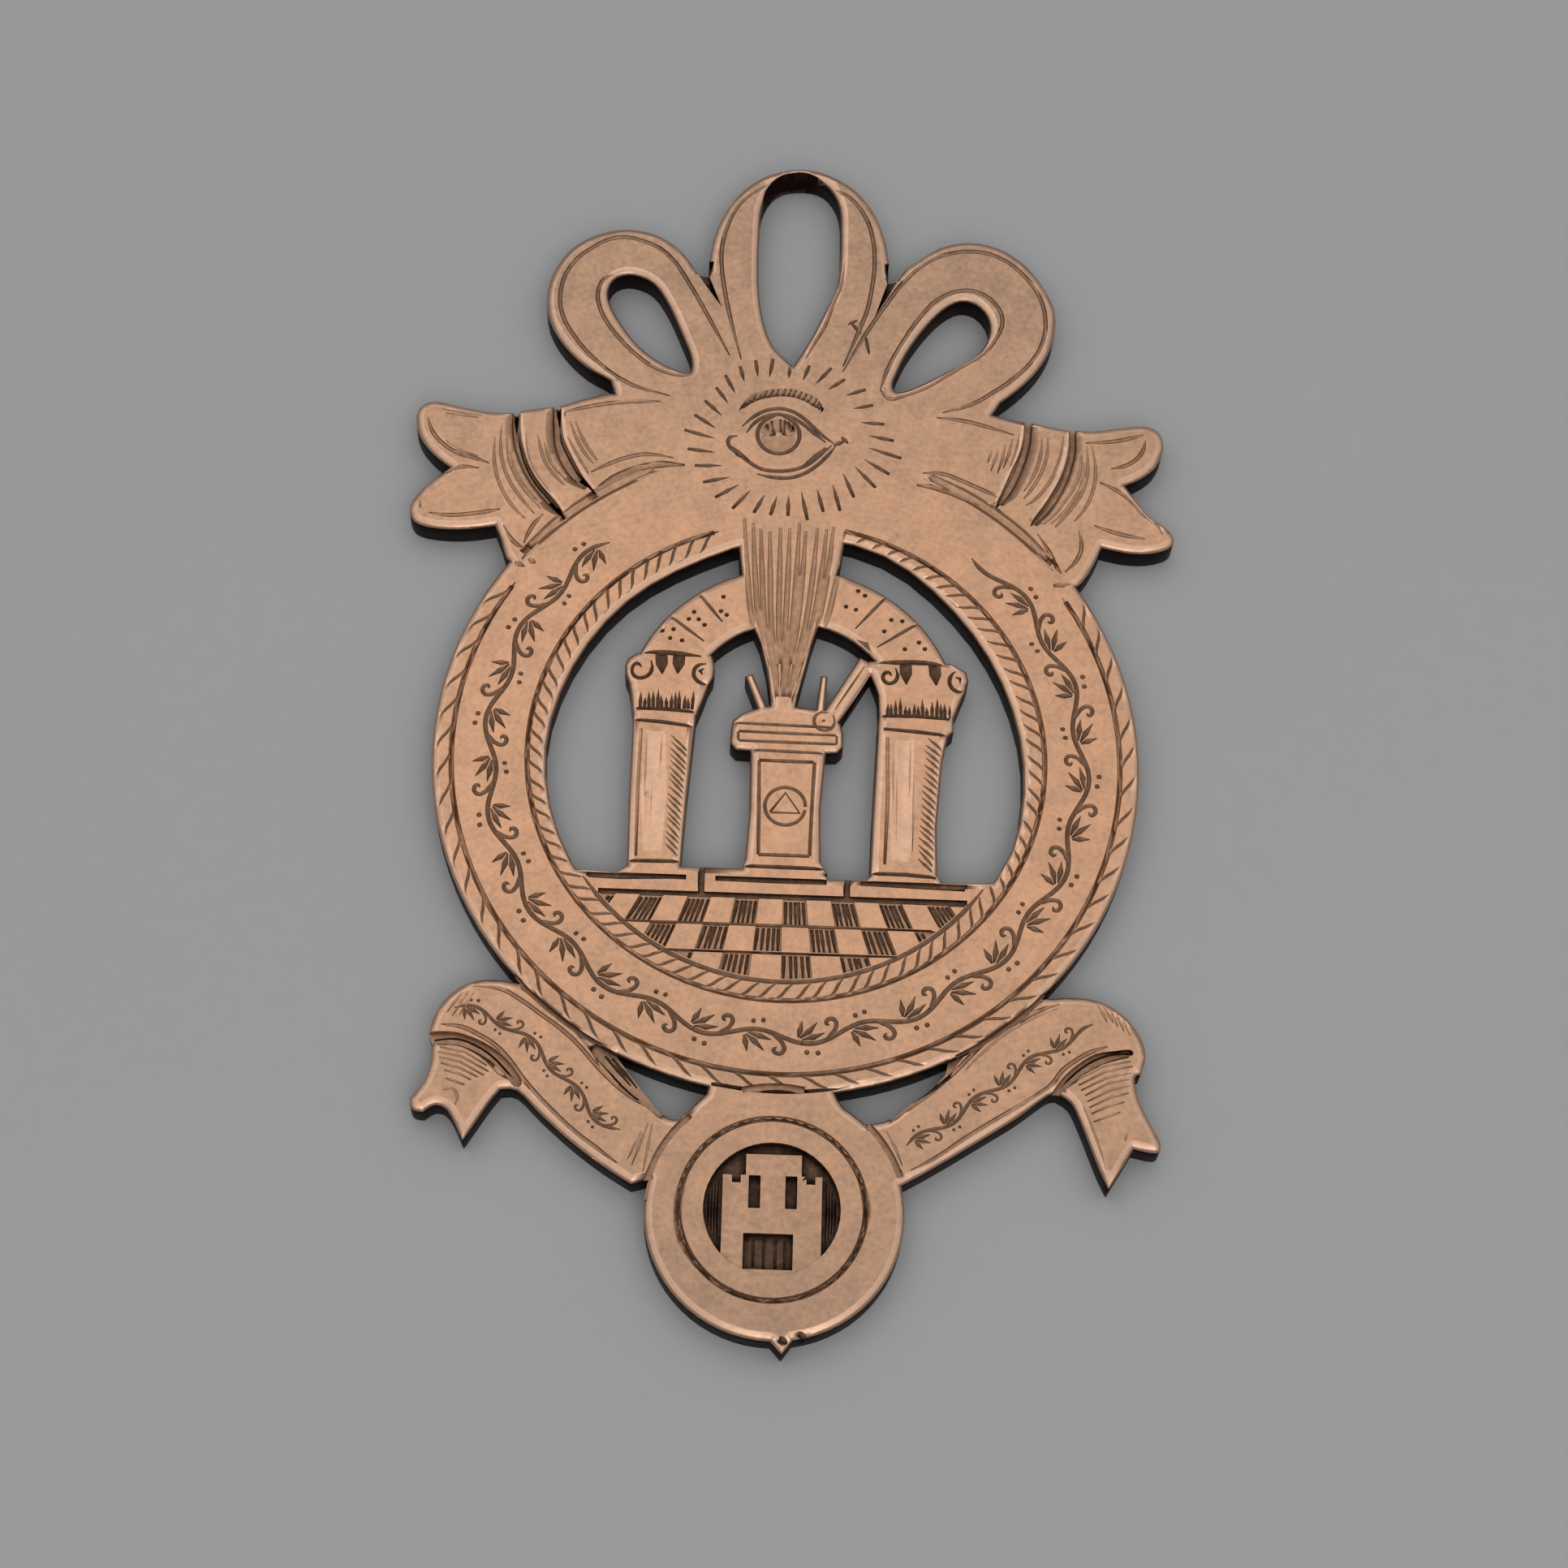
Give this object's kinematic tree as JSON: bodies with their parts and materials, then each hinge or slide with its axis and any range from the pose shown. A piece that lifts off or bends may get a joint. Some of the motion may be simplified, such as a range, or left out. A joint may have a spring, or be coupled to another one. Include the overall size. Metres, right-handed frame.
{
  "type": "masonic jewel",
  "caption": "Flat pierced and engraved metal jewel hung from a ribbon: bow of loops, ribbon, eye in rays, ring round an arch with columns and altar, scrolls, roundel",
  "frame": {"origin": "under the middle of the jewel's length and width, on the plane that it lies on", "axes": "+Z out of the engraved face, +Y towards the middle loop of the bow, +X to the right as the face is looked at"},
  "size_m": [0.039, 0.0642, 0.0017],
  "materials": {
    "copper": "satin copper, hand engraved, worn on its face and dark in its recesses"
  },
  "bodies": {
    "root": {"jewel_plate": "copper"}
  },
  "joints": []
}
